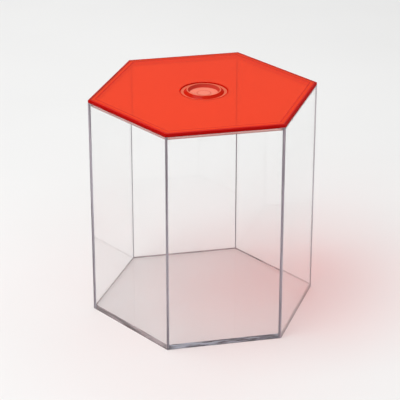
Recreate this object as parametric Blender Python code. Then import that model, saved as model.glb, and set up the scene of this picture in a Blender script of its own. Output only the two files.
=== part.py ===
"""Hexagonal clear barrel with a translucent red lift-off lid and a push-in plug.

Metres, +Z up. The origin is the centre of the underside. Two corners of the
hexagon lie on the X axis, so a flat side faces -Y (the front) and +Y (the rear).
The tub is six mitred wall panels round an inset floor plate. The lid is a flat
plate with a ring of six locating strips under it, and the plug sits in a
counterbored hole in the middle of the plate.
"""
import math

import bmesh
import bpy
from mathutils import Vector

# Driving dimensions
ACROSS_FLATS = 0.130
OVERALL_HEIGHT = 0.150  # to the top face of the lid plate
WALL_THICK = 0.002
FLOOR_THICK = 0.003
LID_THICK = 0.002
STRIP_THICK = 0.0018
STRIP_DEPTH = 0.0022
STRIP_CLEARANCE = 0.0004  # from the locating strips to the inside of the walls
FIT_GAP = 0.0003  # between neighbouring solids

PLUG_RIM_R = 0.01565
PLUG_RIM_WIDTH = 0.0006  # the thin wall round the plug, flush with the lid plate
PLUG_LAND_SINK = 0.0008  # how far the land inside that wall lies below the plate's top
PLUG_FLANGE_THICK = 0.00045  # from the land down to the seat
PLUG_SPIGOT_R = 0.0133
PLUG_RING_FOOT_R = 0.0130  # a finger ring rises from the land
PLUG_RING_OUTER_R = 0.0111
PLUG_RING_INNER_R = 0.0102
PLUG_RING_RISE = 0.0009  # how far the ring stands above the lid plate
PLUG_DISC_R = 0.0094
PLUG_DISC_THICK = 0.0005  # the thin disc at the bottom, inside the ring
HOLE_CLEARANCE = 0.00035
ROUND_SEGMENTS = 64

# Worked out from them
APOTHEM = ACROSS_FLATS / 2
LID_TOP = OVERALL_HEIGHT
LID_UNDER = LID_TOP - LID_THICK
WALL_TOP = LID_UNDER - FIT_GAP
STRIP_OUTER = APOTHEM - WALL_THICK - STRIP_CLEARANCE
PLUG_LAND = LID_TOP - PLUG_LAND_SINK
FLANGE_UNDER = PLUG_LAND - PLUG_FLANGE_THICK
SIDE_NAMES = ("right_rear", "rear", "left_rear", "left_front", "front", "right_front")

# Colours
CLEAR = (0.86, 0.88, 0.89, 0.25)
CLEAR_FLOOR = (0.82, 0.84, 0.86, 0.30)
CLEAR_STRIP = (0.88, 0.84, 0.84, 0.30)
RED = (0.90, 0.06, 0.02, 0.70)
RED_PLUG = (0.92, 0.10, 0.06, 0.65)


def clear_scene():
    """Removes whatever the open file holds."""
    for ob in list(bpy.data.objects):
        bpy.data.objects.remove(ob, do_unlink=True)


def plastic(name, colour, roughness):
    """A see-through moulding or sheet plastic."""
    mat = bpy.data.materials.new(name)
    mat.use_nodes = True
    shader = mat.node_tree.nodes["Principled BSDF"]
    shader.inputs["Base Color"].default_value = (*colour[:3], 1)
    shader.inputs["Roughness"].default_value = roughness
    shader.inputs["Metallic"].default_value = 0.0
    shader.inputs["IOR"].default_value = 1.49
    shader.inputs["Alpha"].default_value = colour[3]
    mat.diffuse_color = colour
    return mat


def add_object(name, bm, material):
    """Turns a bmesh into a named object, with its faces pointing out."""
    bmesh.ops.recalc_face_normals(bm, faces=bm.faces)
    mesh = bpy.data.meshes.new(name)
    bm.to_mesh(mesh)
    bm.free()
    if material:
        mesh.materials.append(material)
    ob = bpy.data.objects.new(name, mesh)
    bpy.context.scene.collection.objects.link(ob)
    return ob


def prism(name, outline, low, high, material):
    """An upright prism on a flat outline, from height low to height high."""
    bm = bmesh.new()
    rings = [[bm.verts.new((x, y, z)) for x, y in outline] for z in (low, high)]
    bm.faces.new(reversed(rings[0]))
    bm.faces.new(rings[1])
    for i in range(len(outline)):
        j = (i + 1) % len(outline)
        bm.faces.new((rings[0][i], rings[0][j], rings[1][j], rings[1][i]))
    return add_object(name, bm, material)


def turned(name, profile, material, segments=ROUND_SEGMENTS):
    """A solid of revolution about Z. The profile is (radius, height) points, from
    the axis on its top face, out and round, to the axis on its underside."""
    bm = bmesh.new()
    top = bm.verts.new((0, 0, profile[0][1]))
    bottom = bm.verts.new((0, 0, profile[-1][1]))
    turns = [2 * math.pi * i / segments for i in range(segments)]
    rings = [
        [bm.verts.new((r * math.cos(a), r * math.sin(a), z)) for a in turns]
        for r, z in profile[1:-1]
    ]
    for i in range(segments):
        j = (i + 1) % segments
        bm.faces.new((top, rings[0][i], rings[0][j]))
        bm.faces.new((bottom, rings[-1][j], rings[-1][i]))
        for upper, lower in zip(rings, rings[1:]):
            bm.faces.new((upper[i], lower[i], lower[j], upper[j]))
    ob = add_object(name, bm, material)
    ob.data.shade_smooth()
    ob.data.set_sharp_from_angle(angle=math.radians(35))
    return ob


def hexagon(apothem):
    """The corners of a hexagon with two corners on the X axis."""
    radius = apothem / math.cos(math.pi / 6)
    turns = [math.pi / 3 * i for i in range(6)]
    return [(radius * math.cos(a), radius * math.sin(a)) for a in turns]


def mitred_strip(side, outer, thickness):
    """The plan of one of six strips that meet in mitres at the corners. Each mitre
    face is set back by half the fit gap."""
    across = math.pi / 3 * side + math.pi / 6
    normal = Vector((math.cos(across), math.sin(across)))
    along = Vector((-normal.y, normal.x))
    plan = []
    for apothem, ends in ((outer, (-1, 1)), (outer - thickness, (1, -1))):
        half = apothem * math.tan(math.pi / 6) - FIT_GAP / 2 / math.cos(math.pi / 6)
        plan += [tuple(normal * apothem + along * half * end) for end in ends]
    return plan


def make_walls(material):
    """Six mitred panels that stand on the ground round the floor plate."""
    for side, name in enumerate(SIDE_NAMES):
        plan = mitred_strip(side, APOTHEM, WALL_THICK)
        prism(f"wall_{name}", plan, 0.0, WALL_TOP, material)


def make_floor(material):
    """The floor plate, let in between the walls."""
    prism("floor_plate", hexagon(APOTHEM - WALL_THICK - FIT_GAP), 0.0, FLOOR_THICK, material)


def make_lid_plate(material):
    """The lid's flat plate, flush with the walls, with the plug's stepped hole."""
    plate = prism("lid_plate", hexagon(APOTHEM), LID_UNDER, LID_TOP, material)
    hole_r = PLUG_SPIGOT_R + HOLE_CLEARANCE
    seat_r = PLUG_RIM_R + HOLE_CLEARANCE
    seat_z = FLANGE_UNDER - FIT_GAP
    past = 0.001
    cutter = turned(
        "plug_hole_cutter",
        [
            (0, LID_TOP + past),
            (seat_r, LID_TOP + past),
            (seat_r, seat_z),
            (hole_r, seat_z),
            (hole_r, LID_UNDER - past),
            (0, LID_UNDER - past),
        ],
        None,
    )
    cutter.hide_render = True
    cutter.display_type = "WIRE"
    cut = plate.modifiers.new("plug_hole", "BOOLEAN")
    cut.operation = "DIFFERENCE"
    cut.solver = "EXACT"
    cut.object = cutter


def make_lid_strips(material):
    """Six mitred strips under the plate that drop inside the walls."""
    top = LID_UNDER - FIT_GAP
    for side, name in enumerate(SIDE_NAMES):
        plan = mitred_strip(side, STRIP_OUTER, STRIP_THICK)
        prism(f"lid_strip_{name}", plan, top - STRIP_DEPTH, top, material)


def make_plug(material):
    """The plug: a thin disc at the bottom of a finger ring, which stands up out of a
    shallow round land with a thin wall round it. A short spigot fills the hole down to
    the plate's underside."""
    ring_top = LID_TOP + PLUG_RING_RISE
    disc_top = LID_UNDER + PLUG_DISC_THICK
    rim_inner = PLUG_RIM_R - PLUG_RIM_WIDTH
    ease = 0.00015
    turned(
        "lid_plug",
        [
            (0, disc_top),
            (PLUG_DISC_R, disc_top),
            (PLUG_RING_INNER_R, ring_top - ease),
            (PLUG_RING_INNER_R + ease, ring_top),
            (PLUG_RING_OUTER_R - ease, ring_top),
            (PLUG_RING_OUTER_R, ring_top - ease),
            (PLUG_RING_FOOT_R, PLUG_LAND),
            (rim_inner, PLUG_LAND),
            (rim_inner, LID_TOP),
            (PLUG_RIM_R, LID_TOP),
            (PLUG_RIM_R, FLANGE_UNDER),
            (PLUG_SPIGOT_R, FLANGE_UNDER),
            (PLUG_SPIGOT_R, LID_UNDER + ease),
            (PLUG_SPIGOT_R - ease, LID_UNDER),
            (0, LID_UNDER),
        ],
        material,
    )


def main():
    clear_scene()
    make_walls(plastic("clear_wall", CLEAR, 0.05))
    make_floor(plastic("clear_floor", CLEAR_FLOOR, 0.06))
    make_lid_plate(plastic("red_lid", RED, 0.06))
    make_lid_strips(plastic("clear_strip", CLEAR_STRIP, 0.08))
    make_plug(plastic("red_plug", RED_PLUG, 0.08))


main()
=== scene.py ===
"""Looks for the hexagonal clear barrel with a translucent red lid and plug.

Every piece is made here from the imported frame's sizes: six mitred wall panels and a
floor plate in clear sheet plastic, a red lid plate with six locating strips under it,
and a moulded plug. Metres, +Z up, one frame with the CAD.
"""
import math

import bmesh
import bpy
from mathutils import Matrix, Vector


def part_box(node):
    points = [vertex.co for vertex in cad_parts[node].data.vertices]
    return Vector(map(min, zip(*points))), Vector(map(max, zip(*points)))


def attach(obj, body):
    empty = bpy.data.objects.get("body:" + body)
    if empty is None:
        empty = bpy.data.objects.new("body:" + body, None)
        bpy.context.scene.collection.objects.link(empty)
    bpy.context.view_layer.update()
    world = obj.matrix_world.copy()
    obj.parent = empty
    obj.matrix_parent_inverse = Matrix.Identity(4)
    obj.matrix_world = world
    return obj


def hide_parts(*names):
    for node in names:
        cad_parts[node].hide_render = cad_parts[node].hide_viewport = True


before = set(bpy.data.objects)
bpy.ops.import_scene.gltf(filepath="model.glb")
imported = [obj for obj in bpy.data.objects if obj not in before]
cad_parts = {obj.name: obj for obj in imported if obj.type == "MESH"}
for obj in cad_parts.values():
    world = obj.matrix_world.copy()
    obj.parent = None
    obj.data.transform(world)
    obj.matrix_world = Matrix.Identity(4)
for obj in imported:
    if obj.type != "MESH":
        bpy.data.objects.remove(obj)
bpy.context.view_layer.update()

SIDE_NAMES = ("right_rear", "rear", "left_rear", "left_front", "front", "right_front")
SIXTH = math.pi / 3
ROUND_SEGMENTS = 160  # a full turn of the plug and of its hole
BLACK = (0.0, 0.0, 0.0)

# Gaps and edges
CLOSE_GAP = 0.00003  # between cemented pieces, so their faces never coincide
WALL_GAP = 0.0002  # from the wall tops to the lid plate
SPIGOT_GAP = 0.00015  # round the plug's spigot
ARRIS = 0.0004  # the bevel on the inner corners of each wall panel, along its inner face
ARRIS_ON_MITRE = 0.8 * ARRIS
LID_ROUND = 0.0007  # the lid plate's rounded top edge
LID_ROUND_STEPS = 4
LID_EASE = 0.0001  # its other edges
PLUG_ROUND = 0.0002  # the corners of the plug's profile
PLUG_ROUND_STEPS = 4
SHARP_ANGLE = math.radians(30)  # a steeper corner on the plug is shaded as an edge
EASE_ANGLE = math.radians(35)  # a steeper edge is eased

# The plug
RIM_WIDTH = 0.0006  # its thin wall, flush with the lid plate
LAND_SINK = 0.0008  # the round land inside that wall, below the plate's top
FLANGE_THICK = 0.00045
SPIGOT_R = 0.0133
RING_FOOT_R = 0.0130  # the finger ring, from its foot on the land to its inner edge
RING_OUTER_R = 0.0111
RING_INNER_R = 0.0102
DISC_R = 0.0094
DISC_THICK = 0.0005  # the thin disc inside the ring
GATE_R = 0.0044  # the faint moulding mark on the disc, a shallow groove
GATE_HALF = 0.0003
GATE_DEPTH = 0.0001

# Light through the plastic
PLASTIC_IOR = 1.49
CEMENT_IOR = 1.45
MIRROR_SHARE = 0.7  # how much of the surface's mirroring dims a lamp or bounced light
MIRROR_ROUGHNESS = 0.02
CLEAR_SHADOW = (0.99, 0.99, 0.99)  # the light that each kind of surface lets through
CEMENT_SHADOW = (0.6, 0.6, 0.6)
RED_SHADOW = (1.0, 0.28, 0.22)
RED_DEEPENING = (5.0, 150.0, 200.0)  # what a metre of red plastic takes from each colour
CLOUDED = 0.985  # the duller patches of clear sheet
DUST_SHADE = 0.81
DUST_HAZE = 0.06
PALER = 1.12  # the paler patches of red plastic
BODY_BACK = 0.7  # how much of its milky body's light comes back, not on through

# Clear sheet: tint, haze, how far scuffs roughen it, gloss
CLEARS = {
    "clear_sheet": ((0.99, 0.993, 0.993), 0.0, 0.004, 0.5),
    "clear_floor_sheet": ((0.985, 0.99, 0.993), 0.002, 0.02, 0.3),
    # the strips' pink tint and pink haze are painted light: red light from the lid, in clear sheet
    "clear_strip_sheet_painted_red_light": ((0.96, 0.52, 0.47), 0.35, 0.05, 0.5),
}
# Cemented and sawn edges: dark and light streaks, clearness, how close the streaks are
# along each axis
CEMENTS = {
    "mitre_cement": ((0.23, 0.20, 0.24), (0.50, 0.46, 0.53), 0.2, (400.0, 400.0, 12.0)),
    # the front edge's lighter blue-grey streaks are painted highlights along its dark cement line
    "front_edge_cement_painted_highlights": ((0.08, 0.07, 0.09), (0.62, 0.66, 0.78), 0.2, (70.0, 70.0, 1100.0)),
    "floor_edge_cement": ((0.11, 0.075, 0.078), (0.52, 0.41, 0.43), 0.2, (60.0, 60.0, 800.0)),
    "sawn_edge": ((0.05, 0.03, 0.03), (0.12, 0.08, 0.08), 0.0, (300.0, 300.0, 300.0)),
}
# Red plastic: its see-through colour, its milky body's colour, haze, gloss
SHEET_REDS = {
    "red_sheet": ((1.0, 0.090, 0.022), (1.0, 0.092, 0.014), 0.35, 0.5),
    # the edge face and the rounded top edge take a darker red: painted shade, for light's long way
    # along the sheet
    "red_sheet_edge_painted_shade": ((0.80, 0.010, 0.003), (0.62, 0.002, 0.001), 0.90, 0.03),
    "red_sheet_round_painted_shade": ((0.80, 0.010, 0.003), (0.66, 0.003, 0.001), 0.85, 0.1),
}
PLUG_REDS = {
    "red_moulding": ((1.0, 0.22, 0.14), (0.92, 0.20, 0.12), 0.6, 0.5),
    # the plug is one moulding in red_moulding's red; the six below are painted light and shade by
    # where they sit: a paler disc and land, a darker inner face of the ring, a painted glow on the
    # rim's outside and the spigot, a darker rim wall and ring slope
    "red_moulding_thin_painted_paler": ((1.0, 0.38, 0.28), (1.0, 0.37, 0.26), 0.55, 0.5),
    "red_moulding_inner_painted_shade": ((1.0, 0.08, 0.05), (0.88, 0.085, 0.055), 0.85, 0.1),
    "red_moulding_painted_glow": ((1.0, 0.05, 0.01), (1.0, 0.04, 0.006), 0.7, 0.1),
    "red_moulding_land_painted_paler": ((1.0, 0.20, 0.12), (1.0, 0.21, 0.12), 0.92, 0.3),
    "red_moulding_wall_painted_shade": ((0.9, 0.012, 0.003), (0.80, 0.010, 0.001), 0.95, 0.05),
    "red_moulding_slope_painted_shade": ((0.95, 0.024, 0.005), (0.86, 0.018, 0.002), 0.85, 0.2),
}

# The lid's border, over the locating strips and the wall tops: painted light and shade on the one
# sheet, standing for what lies under it
BORDER_HAZE = 0.50  # how milky the sheet looks over the strips: painted light from the strips under it
BORDER_HAZE_RISE = 0.0006
BORDER_CLEARING = 0.25  # how much less milky it looks over the wall tops
PAINTED_WALL_TOP_SHADE = (0.95, 0.025, 0.004)  # the deeper red over the wall tops: painted shade
BORDER_RED_RISE = 0.0012
PAINTED_LINE_SHADE = (0.75, 0.02, 0.01)  # a painted dark line, painted shade, where the strips' inner faces lie
LINE_HALF = 0.0003
LINE_STRENGTH = 0.9

# The studio
PAPER = ((0.80, 0.80, 0.795), (0.84, 0.84, 0.835))
FLOOR_RADIUS = 6.0
FLOOR_SEGMENTS = 96
FLOOR_DROP = 0.0002
LAMP_AIM = Vector((0, 0, 0.06))
LAMP_DEPTH = 0.8  # of its width
# Soft boxes: name, turn from the camera, elevation, distance, width, power
LAMPS = (
    ("key", -70, 67, 1.5, 1.0, 9.5),
    ("back_scrim", 175, 52, 1.6, 0.9, 2),
    ("front_fill", -35, 45, 1.6, 0.9, 2.8),
)
# The tent's brightness, by the sine of the elevation: 0 is the horizon and all below it
TENT = ((0.0, 0.78), (0.10, 0.78), (0.20, 0.27), (0.46, 0.27), (0.64, 0.78), (1.0, 0.90))
CAMERA_AZIMUTH = -11.83
CAMERA_ELEVATION = 25.26
CAMERA_DISTANCE = 15.15  # this and the shifts are in corner radii
CAMERA_LEFT = 0.0328
CAMERA_DOWN = 0.0291
SENSOR = 36.0
FOCAL = 155.3


# ---------------------------------------------------------------- sizes from the frame

def read_sizes():
    """The dimensions that every piece is built from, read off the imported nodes."""
    wall_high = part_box("wall_front")[1]
    floor_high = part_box("floor_plate")[1]
    lid_low, lid_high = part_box("lid_plate")
    strip_low, strip_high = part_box("lid_strip_front")
    plug_low, plug_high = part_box("lid_plug")
    return {
        "apothem": lid_high.y,
        "wall_inner": -wall_high.y,
        "floor_top": floor_high.z,
        "lid_under": lid_low.z,
        "lid_top": lid_high.z,
        "strip_outer": -strip_low.y,
        "strip_inner": -strip_high.y,
        "strip_low": strip_low.z,
        "plug_r": plug_high.x,
        "plug_low": plug_low.z,
        "plug_high": plug_high.z,
    }


# ---------------------------------------------------------------- shader helpers

def new_material(name):
    mat = bpy.data.materials.new(name)
    mat.use_nodes = True
    return mat, mat.node_tree.nodes, mat.node_tree.links


def put(links, socket, value):
    """Gives an input a number or a colour, or links another node's output to it."""
    if isinstance(value, bpy.types.NodeSocket):
        links.new(value, socket)
    elif isinstance(value, tuple):
        socket.default_value = (*value, 1)
    else:
        socket.default_value = value


def scaled(colour, share):
    """A colour made darker or lighter, at most full."""
    return tuple(min(1.0, c * share) for c in colour)


def maths(nodes, links, operation, *values):
    node = nodes.new("ShaderNodeMath")
    node.operation = operation
    for socket, value in zip(node.inputs, values):
        put(links, socket, value)
    return node.outputs[0]


def mixed_colour(nodes, links, factor, first, second):
    """A colour between two, by a value."""
    mix = nodes.new("ShaderNodeMix")
    mix.data_type = "RGBA"
    put(links, mix.inputs["A"], first)
    put(links, mix.inputs["B"], second)
    links.new(factor, mix.inputs["Factor"])
    return mix.outputs["Result"]


def mixed_shader(nodes, links, factor, first, second):
    """A share of the second shader over the first."""
    mix = nodes.new("ShaderNodeMixShader")
    put(links, mix.inputs["Fac"], factor)
    links.new(first, mix.inputs[1])
    links.new(second, mix.inputs[2])
    return mix.outputs[0]


def noise(nodes, links, coords, scale, detail=3.0, rough=0.5, stretch=None):
    """A noise value on object coordinates, stretched along an axis if asked."""
    tex = nodes.new("ShaderNodeTexNoise")
    tex.inputs["Scale"].default_value = scale
    tex.inputs["Detail"].default_value = detail
    tex.inputs["Roughness"].default_value = rough
    source = coords.outputs["Object"]
    if stretch:
        mapping = nodes.new("ShaderNodeMapping")
        mapping.inputs["Scale"].default_value = stretch
        links.new(source, mapping.inputs["Vector"])
        source = mapping.outputs["Vector"]
    links.new(source, tex.inputs["Vector"])
    return tex.outputs["Fac"]


def ramp(nodes, links, value, low, high, low_out=0.0, high_out=1.0):
    """Maps value from low..high to low_out..high_out, clamped."""
    node = nodes.new("ShaderNodeMapRange")
    node.inputs["From Min"].default_value = low
    node.inputs["From Max"].default_value = high
    node.inputs["To Min"].default_value = low_out
    node.inputs["To Max"].default_value = high_out
    links.new(value, node.inputs["Value"])
    return node.outputs["Result"]


def see_through(name, gloss):
    """A new clear refracting plastic."""
    mat, nodes, links = new_material(name)
    shader = nodes["Principled BSDF"]
    shader.inputs["Transmission Weight"].default_value = 1.0
    shader.inputs["IOR"].default_value = PLASTIC_IOR
    shader.inputs["Specular IOR Level"].default_value = gloss
    return mat, nodes, links


def rippled(nodes, links, coords, scale, detail, strength, height):
    """A slow unevenness that bends the plastic's reflections a little."""
    wave = nodes.new("ShaderNodeBump")
    wave.inputs["Strength"].default_value = strength
    wave.inputs["Distance"].default_value = height
    links.new(noise(nodes, links, coords, scale, detail), wave.inputs["Height"])
    links.new(wave.outputs["Normal"], nodes["Principled BSDF"].inputs["Normal"])


def across_flats(nodes, links, coords):
    """How far out a point is, measured square to the nearest side of the hexagon."""
    furthest = 0.0
    for side in range(3):
        across = SIXTH * side + SIXTH / 2
        dot = nodes.new("ShaderNodeVectorMath")
        dot.operation = "DOT_PRODUCT"
        dot.inputs[1].default_value = (math.cos(across), math.sin(across), 0)
        links.new(coords.outputs["Object"], dot.inputs[0])
        here = maths(nodes, links, "ABSOLUTE", dot.outputs["Value"])
        furthest = maths(nodes, links, "MAXIMUM", furthest, here)
    return furthest


def lamp_path(nodes, links, surface, tint):
    """How light gets through the piece. The eye sees the real refracting surface. Lamps
    and bounced light go straight on with the piece's tint, less what the surface mirrors,
    which keeps shadows soft and free of grain."""
    geometry = nodes.new("ShaderNodeNewGeometry")
    fresnel = nodes.new("ShaderNodeFresnel")
    fresnel.inputs["IOR"].default_value = PLASTIC_IOR
    facing = maths(nodes, links, "SUBTRACT", 1.0, geometry.outputs["Backfacing"])
    mirrored = maths(nodes, links, "MULTIPLY", fresnel.outputs["Fac"], facing)
    share = maths(nodes, links, "MULTIPLY", mirrored, MIRROR_SHARE)
    path = nodes.new("ShaderNodeLightPath")
    through = nodes.new("ShaderNodeBsdfTransparent")
    put(links, through.inputs["Color"], tint)
    mirror = nodes.new("ShaderNodeBsdfGlossy")
    mirror.inputs["Roughness"].default_value = MIRROR_ROUGHNESS
    thin = mixed_shader(nodes, links, share, through.outputs[0], mirror.outputs[0])
    bounced = mixed_shader(nodes, links, path.outputs["Is Diffuse Ray"], surface, thin)
    shadow = nodes.new("ShaderNodeBsdfTransparent")
    put(links, shadow.inputs["Color"], mixed_colour(nodes, links, share, tint, BLACK))
    lit = mixed_shader(nodes, links, path.outputs["Is Shadow Ray"], bounced, shadow.outputs[0])
    links.new(lit, nodes["Material Output"].inputs["Surface"])


# ---------------------------------------------------------------- materials

def clear_plastic(name):
    """Clear cast sheet: smooth, with faint scratches, dust and a touch of haze. On the strips' sheet
    the pink tint and the pink haze are painted light, red light from the lid.
    """
    tint, haze, scuffs, gloss = CLEARS[name]
    mat, nodes, links = see_through(name, gloss)
    shader = nodes["Principled BSDF"]
    coords = nodes.new("ShaderNodeTexCoord")
    fine = noise(nodes, links, coords, 260.0, 4.0, 0.6, stretch=(1.0, 1.0, 0.12))
    links.new(ramp(nodes, links, fine, 0.45, 0.8, 0.0, scuffs), shader.inputs["Roughness"])
    cloud = ramp(nodes, links, noise(nodes, links, coords, 16.0), 0.35, 0.65)
    tone = mixed_colour(nodes, links, cloud, scaled(tint, CLOUDED), tint)
    links.new(tone, shader.inputs["Base Color"])
    rippled(nodes, links, coords, 12.0, 1.0, 0.02, 0.0002)
    # the dust veil; on the strips its pink share is painted red light from the lid
    dust = nodes.new("ShaderNodeBsdfDiffuse")
    put(links, dust.inputs["Color"], scaled(tint, DUST_SHADE))
    speck = noise(nodes, links, coords, 900.0, 2.0, 0.6)
    dust_and_glow_share = ramp(nodes, links, speck, 0.6, 0.85, haze, haze + DUST_HAZE)
    veil = mixed_shader(nodes, links, dust_and_glow_share, shader.outputs[0], dust.outputs[0])
    lamp_path(nodes, links, veil, CLEAR_SHADOW)
    return mat


def cement_line(name):
    """The cemented or sawn edge of a sheet: streaks of dark and light along it, a little
    clear where the cement took."""
    dark, light, clearness, closeness = CEMENTS[name]
    mat, nodes, links = new_material(name)
    shader = nodes["Principled BSDF"]
    shader.inputs["IOR"].default_value = CEMENT_IOR
    coords = nodes.new("ShaderNodeTexCoord")
    streaks = noise(nodes, links, coords, 1.0, 3.0, 0.6, stretch=closeness)
    colour = mixed_colour(nodes, links, ramp(nodes, links, streaks, 0.43, 0.58), dark, light)
    links.new(colour, shader.inputs["Base Color"])
    links.new(ramp(nodes, links, streaks, 0.35, 0.65, 0.45, 0.2), shader.inputs["Roughness"])
    taken = ramp(nodes, links, streaks, 0.35, 0.65, clearness * 0.5, clearness)
    links.new(taken, shader.inputs["Transmission Weight"])
    lamp_path(nodes, links, shader.outputs[0], CEMENT_SHADOW)
    return mat


def painted_border(nodes, links, coords, strips, haze, tone, milk):
    """The lid's border, painted light and shade from what lies under the sheet: milkier over the
    locating strips as painted light, a deeper red painted shade and clearer over the wall tops, with
    a painted dark line where the strips' inner faces lie. Gives the haze and both colours with the
    border in them."""
    strip_inner, strip_outer = strips
    out = across_flats(nodes, links, coords)
    deep = ramp(nodes, links, out, strip_outer, strip_outer + BORDER_RED_RISE)
    milky = ramp(nodes, links, out, strip_inner, strip_inner + BORDER_HAZE_RISE, haze, BORDER_HAZE)
    clearing = maths(nodes, links, "MULTIPLY", deep, BORDER_CLEARING)
    line = maths(nodes, links, "COMPARE", out, strip_inner, LINE_HALF)
    faint = maths(nodes, links, "MULTIPLY", line, LINE_STRENGTH)
    for share, colour in ((deep, PAINTED_WALL_TOP_SHADE), (faint, PAINTED_LINE_SHADE)):
        tone = mixed_colour(nodes, links, share, tone, colour)
        milk = mixed_colour(nodes, links, share, milk, colour)
    return maths(nodes, links, "SUBTRACT", milky, clearing), tone, milk


def red_plastic(name, colour, milk, haze, gloss, strips=None):
    """Translucent orange-red plastic: a see-through red with a milky body, which deepens along the
    sheet. strips is how far out the inner and outer faces of the locating strips lie, for the sheet
    that has them under it and gets the painted light and shade of its border over them."""
    mat, nodes, links = see_through(name, gloss)
    shader = nodes["Principled BSDF"]
    coords = nodes.new("ShaderNodeTexCoord")
    cloud = ramp(nodes, links, noise(nodes, links, coords, 14.0), 0.3, 0.7)
    tone = mixed_colour(nodes, links, cloud, colour, scaled(colour, PALER))
    if strips:
        # the border's painted light and shade, over the strips and the wall tops
        haze, tone, milk = painted_border(nodes, links, coords, strips, haze, tone, milk)
    links.new(tone, shader.inputs["Base Color"])
    fine = noise(nodes, links, coords, 300.0, 4.0, 0.6)
    links.new(ramp(nodes, links, fine, 0.5, 0.8, 0.0, 0.05), shader.inputs["Roughness"])
    rippled(nodes, links, coords, 30.0, 2.0, 0.05, 0.0004)
    onward = nodes.new("ShaderNodeBsdfTranslucent")
    put(links, onward.inputs["Color"], milk)
    back = nodes.new("ShaderNodeBsdfDiffuse")
    put(links, back.inputs["Color"], milk)
    milky_body = mixed_shader(nodes, links, BODY_BACK, onward.outputs[0], back.outputs[0])
    veil = mixed_shader(nodes, links, haze, shader.outputs[0], milky_body)
    density = max(RED_DEEPENING)
    absorb = nodes.new("ShaderNodeVolumeAbsorption")
    put(links, absorb.inputs["Color"], tuple(1 - taken / density for taken in RED_DEEPENING))
    absorb.inputs["Density"].default_value = density
    links.new(absorb.outputs[0], nodes["Material Output"].inputs["Volume"])
    lamp_path(nodes, links, veil, RED_SHADOW)
    return mat


def studio_floor():
    """Plain pale paper."""
    mat, nodes, links = new_material("studio_floor")
    shader = nodes["Principled BSDF"]
    shader.inputs["Roughness"].default_value = 0.9
    shader.inputs["Specular IOR Level"].default_value = 0.1
    coords = nodes.new("ShaderNodeTexCoord")
    cloud = ramp(nodes, links, noise(nodes, links, coords, 3.0), 0.3, 0.7)
    links.new(mixed_colour(nodes, links, cloud, *PAPER), shader.inputs["Base Color"])
    return mat


# ---------------------------------------------------------------- shapes

def add_object(name, bm, materials):
    """Turns a bmesh into a named object, with its faces pointing out."""
    bmesh.ops.recalc_face_normals(bm, faces=bm.faces)
    mesh = bpy.data.meshes.new(name)
    bm.to_mesh(mesh)
    bm.free()
    for material in materials:
        mesh.materials.append(material)
    ob = bpy.data.objects.new(name, mesh)
    bpy.context.scene.collection.objects.link(ob)
    return ob


def eased(ob, width):
    """Breaks the sharp edges, as a file or a polishing flame does."""
    bevel = ob.modifiers.new("eased_edges", "BEVEL")
    bevel.width = width
    bevel.segments = 2
    bevel.limit_method = "ANGLE"
    bevel.angle_limit = EASE_ANGLE
    bevel.harden_normals = True


def prism(name, outline, low, high, materials, side_slots, low_slot=0):
    """An upright prism. side_slots gives each side face its material slot."""
    bm = bmesh.new()
    rings = [[bm.verts.new((x, y, z)) for x, y in outline] for z in (low, high)]
    bm.faces.new(reversed(rings[0])).material_index = low_slot
    bm.faces.new(rings[1])
    for i, slot in enumerate(side_slots):
        j = (i + 1) % len(outline)
        face = bm.faces.new((rings[0][i], rings[0][j], rings[1][j], rings[1][i]))
        face.material_index = slot
    return add_object(name, bm, materials)


def hexagon(apothem):
    """The corners of a hexagon with two corners on the X axis."""
    radius = apothem / math.cos(math.pi / 6)
    return [(radius * math.cos(SIXTH * i), radius * math.sin(SIXTH * i)) for i in range(6)]


def round_ring(bm, radius, height):
    """A ring of points about Z."""
    turns = [2 * math.pi * i / ROUND_SEGMENTS for i in range(ROUND_SEGMENTS)]
    return [bm.verts.new((radius * math.cos(a), radius * math.sin(a), height)) for a in turns]


def mitred_strip(side, outer, inner, gap):
    """The plan of one of six strips that meet in mitres: outer face, mitre, inner face, mitre."""
    across = SIXTH * side + SIXTH / 2
    normal = Vector((math.cos(across), math.sin(across)))
    along = Vector((-normal.y, normal.x))
    plan = []
    for apothem, ends in ((outer, (-1, 1)), (inner, (1, -1))):
        half = apothem * math.tan(math.pi / 6) - gap / 2 / math.cos(math.pi / 6)
        plan += [normal * apothem + along * half * end for end in ends]
    return plan


def bevelled_panel(side, outer, inner, gap):
    """A wall panel's plan: outer face, mitre, bevel, inner face, bevel, mitre."""
    low_out, high_out, high_in, low_in = mitred_strip(side, outer, inner, gap)
    along = (high_in - low_in).normalized() * ARRIS
    return [
        low_out,
        high_out,
        high_in + (high_out - high_in).normalized() * ARRIS_ON_MITRE,
        high_in - along,
        low_in + along,
        low_in + (low_out - low_in).normalized() * ARRIS_ON_MITRE,
    ]


def rounded(points):
    """The plug's profile with its corners rounded, but for its ends on the axis. points are
    (radius, height, slot of the stretch that follows). Gives the profile and the slot of
    each of its stretches."""
    out, slots = [], []
    for i, (r, z, slot) in enumerate(points):
        if r == 0:
            out.append((r, z))
            slots.append(slot)
            continue
        here = Vector((r, z))
        before = Vector(points[i - 1][:2]) - here
        after = Vector(points[i + 1][:2]) - here
        reach = min(PLUG_ROUND, before.length * 0.45, after.length * 0.45)
        start = here + before.normalized() * reach
        end = here + after.normalized() * reach
        for k in range(PLUG_ROUND_STEPS + 1):
            t = k / PLUG_ROUND_STEPS
            p = start * (1 - t) ** 2 + here * 2 * t * (1 - t) + end * t * t
            out.append((p.x, p.y))
            slots.append(slot if t >= 0.5 else points[i - 1][2])
    return out, slots[:-1]


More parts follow.
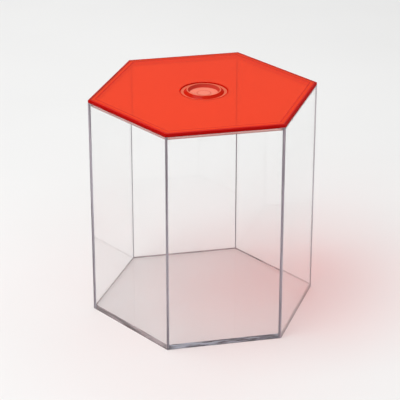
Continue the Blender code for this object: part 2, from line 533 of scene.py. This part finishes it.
def turned(name, profile, slots, materials):
    """A solid of revolution about Z, from the axis on top, round to the axis below. slots
    gives the material slot of each stretch of the profile."""
    bm = bmesh.new()
    top = bm.verts.new((0, 0, profile[0][1]))
    bottom = bm.verts.new((0, 0, profile[-1][1]))
    rings = [round_ring(bm, r, z) for r, z in profile[1:-1]]
    for i in range(ROUND_SEGMENTS):
        j = (i + 1) % ROUND_SEGMENTS
        bm.faces.new((top, rings[0][i], rings[0][j])).material_index = slots[0]
        bm.faces.new((bottom, rings[-1][j], rings[-1][i])).material_index = slots[-1]
        for upper, lower, slot in zip(rings, rings[1:], slots[1:]):
            face = bm.faces.new((upper[i], lower[i], lower[j], upper[j]))
            face.material_index = slot
    ob = add_object(name, bm, materials)
    ob.data.shade_smooth()
    ob.data.set_sharp_from_angle(angle=SHARP_ANGLE)
    return ob


def stepped_plate(name, apothem, low, high, steps, materials):
    """A flat hexagonal plate with a rounded top edge and a stepped round hole through its
    middle. steps are the hole's (radius, height) points from the top face down. Slot 1 is
    the plate's edge face and slot 2 its rounded top edge."""
    bm = bmesh.new()
    arc = [math.pi / 2 * k / LID_ROUND_STEPS for k in range(LID_ROUND_STEPS + 1)]
    levels = [
        (apothem - LID_ROUND * (1 - math.sin(a)), high - LID_ROUND * (1 - math.cos(a)))
        for a in arc
    ]
    levels.append((apothem, low))
    rims = [[bm.verts.new((x, y, z)) for x, y in hexagon(at)] for at, z in levels]
    for k, (upper, lower) in enumerate(zip(rims, rims[1:])):
        for i in range(6):
            j = (i + 1) % 6
            side = bm.faces.new((lower[i], lower[j], upper[j], upper[i]))
            side.material_index = 1 if k == LID_ROUND_STEPS else 2
    rings = [round_ring(bm, r, z) for r, z in steps]
    for upper, lower in zip(rings, rings[1:]):
        for i in range(ROUND_SEGMENTS):
            j = (i + 1) % ROUND_SEGMENTS
            bm.faces.new((upper[i], upper[j], lower[j], lower[i]))
    for rim, ring in ((rims[0], rings[0]), (rims[-1], rings[-1])):
        edges = []
        for loop in (rim, ring):
            for a, b in zip(loop, loop[1:] + loop[:1]):
                edges.append(bm.edges.get((a, b)) or bm.edges.new((a, b)))
        bmesh.ops.triangle_fill(bm, use_beauty=True, use_dissolve=False, edges=edges)
    return add_object(name, bm, materials)


# ---------------------------------------------------------------- pieces

def make_walls(size):
    """Six mitred panels. Their inner and outer faces are clear, the rest is cement."""
    materials = [clear_plastic("clear_sheet"), cement_line("mitre_cement")]
    for side, name in enumerate(SIDE_NAMES):
        panel = prism(
            f"clear_panel_{name}",
            bevelled_panel(side, size["apothem"], size["wall_inner"], CLOSE_GAP),
            0.0,
            size["lid_under"] - WALL_GAP,
            materials,
            (0, 1, 1, 0, 1, 1),
        )
        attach(panel, "barrel")
        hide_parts(f"wall_{name}")


def make_floor_plate(size):
    """The floor plate, let in between the walls. Its front edge's cement line has lighter blue-grey
    streaks that are painted highlights.
    """
    cements = [cement_line("floor_edge_cement"), cement_line("front_edge_cement_painted_highlights")]
    plate = prism(
        "clear_floor_plate",
        hexagon(size["wall_inner"] - CLOSE_GAP),
        0.0,
        size["floor_top"],
        [clear_plastic("clear_floor_sheet"), *cements],
        [2 if name == "front" else 1 for name in SIDE_NAMES],
    )
    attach(plate, "barrel")
    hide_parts("floor_plate")


def make_lid_plate(size):
    """The lid's plate, with the plug's stepped hole."""
    strips = {"red_sheet": (size["strip_inner"], size["strip_outer"])}
    reds = [red_plastic(name, *look, strips.get(name)) for name, look in SHEET_REDS.items()]
    mouth_r = size["plug_r"] + 2 * CLOSE_GAP
    seat = size["lid_top"] - LAND_SINK - FLANGE_THICK - 2 * CLOSE_GAP
    hole_r = SPIGOT_R + SPIGOT_GAP
    hole = [(mouth_r, size["lid_top"]), (mouth_r, seat), (hole_r, seat), (hole_r, size["lid_under"])]
    plate = stepped_plate(
        "red_lid_plate", size["apothem"], size["lid_under"], size["lid_top"], hole, reds
    )
    eased(plate, LID_EASE)
    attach(plate, "lid")
    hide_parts("lid_plate")


def make_lid_strips(size):
    """The locating strips under the lid's plate, their clear sheet painted pink with red light from
    the lid. Their mitres and lower edges are sawn.
    """
    materials = [clear_plastic("clear_strip_sheet_painted_red_light"), cement_line("sawn_edge")]
    for side, name in enumerate(SIDE_NAMES):
        strip = prism(
            f"clear_strip_{name}",
            mitred_strip(side, size["strip_outer"], size["strip_inner"], CLOSE_GAP),
            size["strip_low"],
            size["lid_under"] - CLOSE_GAP,
            materials,
            (0, 1, 0, 1),
            low_slot=1,
        )
        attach(strip, "lid")
        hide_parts(f"lid_strip_{name}")


def make_plug(size):
    """The plug: a thin disc with a faint moulding mark, inside a raised finger ring that stands in a
    shallow round recess. Each stretch of the profile names its red, and all but the moulding's own
    red are painted light and shade on the one moulding."""
    top = size["lid_top"]
    land = top - LAND_SINK
    under = land - FLANGE_THICK
    ring = size["plug_high"]
    disc = size["plug_low"] + DISC_THICK
    rim_inner = size["plug_r"] - RIM_WIDTH
    # slots: the moulding's own red, then painted light and shade: paler disc, darker ring inner
    # face, painted glow, paler ring top and land, darker rim wall, darker ring slope
    moulded, thin, inner, glow, pale, wall, slope = range(len(PLUG_REDS))
    profile, slots = rounded([
        (0, disc, thin),
        (GATE_R - GATE_HALF, disc, moulded),
        (GATE_R, disc - GATE_DEPTH, moulded),
        (GATE_R + GATE_HALF, disc, thin),
        (DISC_R, disc, inner),
        (RING_INNER_R, ring, pale),
        (RING_OUTER_R, ring, slope),
        (RING_FOOT_R, land, pale),
        (rim_inner, land, wall),
        (rim_inner, top, wall),
        (size["plug_r"], top, glow),
        (size["plug_r"], under, moulded),
        (SPIGOT_R, under, glow),
        (SPIGOT_R, size["plug_low"], thin),
        (0, size["plug_low"], thin),
    ])
    reds = [red_plastic(name, *look) for name, look in PLUG_REDS.items()]
    plug = turned("red_plug", profile, slots, reds)
    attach(plug, "plug")
    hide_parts("lid_plug")


# ---------------------------------------------------------------- stage, lights, camera

def make_floor():
    """A wide disc of paper, just under the object."""
    bm = bmesh.new()
    bmesh.ops.create_circle(bm, cap_ends=True, segments=FLOOR_SEGMENTS, radius=FLOOR_RADIUS)
    floor = add_object("floor", bm, [studio_floor()])
    floor.location.z = -FLOOR_DROP


def back_from(azimuth, elevation):
    a, e = math.radians(azimuth), math.radians(elevation)
    return Vector((math.sin(a) * math.cos(e), -math.cos(a) * math.cos(e), math.sin(e)))


def aimed(name, data, place, back):
    """Adds a lamp or a camera at a place, looking against the direction back."""
    ob = bpy.data.objects.new(name, data)
    bpy.context.scene.collection.objects.link(ob)
    ob.location = place
    ob.rotation_euler = (-back).to_track_quat("-Z", "Y").to_euler()
    return ob


def add_soft_box(name, turn, elevation, distance, width, power):
    """A soft box aimed at the object."""
    back = back_from(CAMERA_AZIMUTH + turn, elevation)
    lamp = bpy.data.lights.new(name, "AREA")
    lamp.shape = "RECTANGLE"
    lamp.size = width
    lamp.size_y = width * LAMP_DEPTH
    lamp.energy = power
    aimed(name, lamp, LAMP_AIM + back * distance, back)


def make_world():
    """A studio tent: pale at the horizon, dim above it, and a bright scrim overhead."""
    world = bpy.data.worlds.new("studio")
    bpy.context.scene.world = world
    world.use_nodes = True
    nodes, links = world.node_tree.nodes, world.node_tree.links
    coords = nodes.new("ShaderNodeTexCoord")
    split = nodes.new("ShaderNodeSeparateXYZ")
    links.new(coords.outputs["Generated"], split.inputs["Vector"])
    tent = nodes.new("ShaderNodeValToRGB")
    tent.color_ramp.interpolation = "EASE"
    while len(tent.color_ramp.elements) < len(TENT):
        tent.color_ramp.elements.new(0.5)
    for element, (at, value) in zip(tent.color_ramp.elements, TENT):
        element.position = at
        element.color = (value, value, value, 1)
    links.new(split.outputs["Z"], tent.inputs["Fac"])
    links.new(tent.outputs["Color"], nodes["Background"].inputs["Color"])


def make_camera(size):
    """A long lens, above the front left. The shifts put the object where it sits in the frame."""
    radius = size["apothem"] / math.cos(math.pi / 6)
    back = back_from(CAMERA_AZIMUTH, CAMERA_ELEVATION)
    turn = math.radians(CAMERA_AZIMUTH)
    right = Vector((math.cos(turn), math.sin(turn), 0))
    up = back.cross(right)
    data = bpy.data.cameras.new("camera")
    data.sensor_width = SENSOR
    data.lens = FOCAL
    data.clip_start = 0.01
    middle = Vector((0, 0, size["lid_top"] / 2))
    reach = CAMERA_DISTANCE * back - CAMERA_LEFT * right - CAMERA_DOWN * up
    bpy.context.scene.camera = aimed("camera", data, middle + radius * reach, back)


def main():
    size = read_sizes()
    make_camera(size)
    make_walls(size)
    make_floor_plate(size)
    make_lid_plate(size)
    make_lid_strips(size)
    make_plug(size)
    make_floor()
    make_world()
    for lamp in LAMPS:
        add_soft_box(*lamp)
    bpy.context.scene.view_settings.view_transform = "Standard"


main()
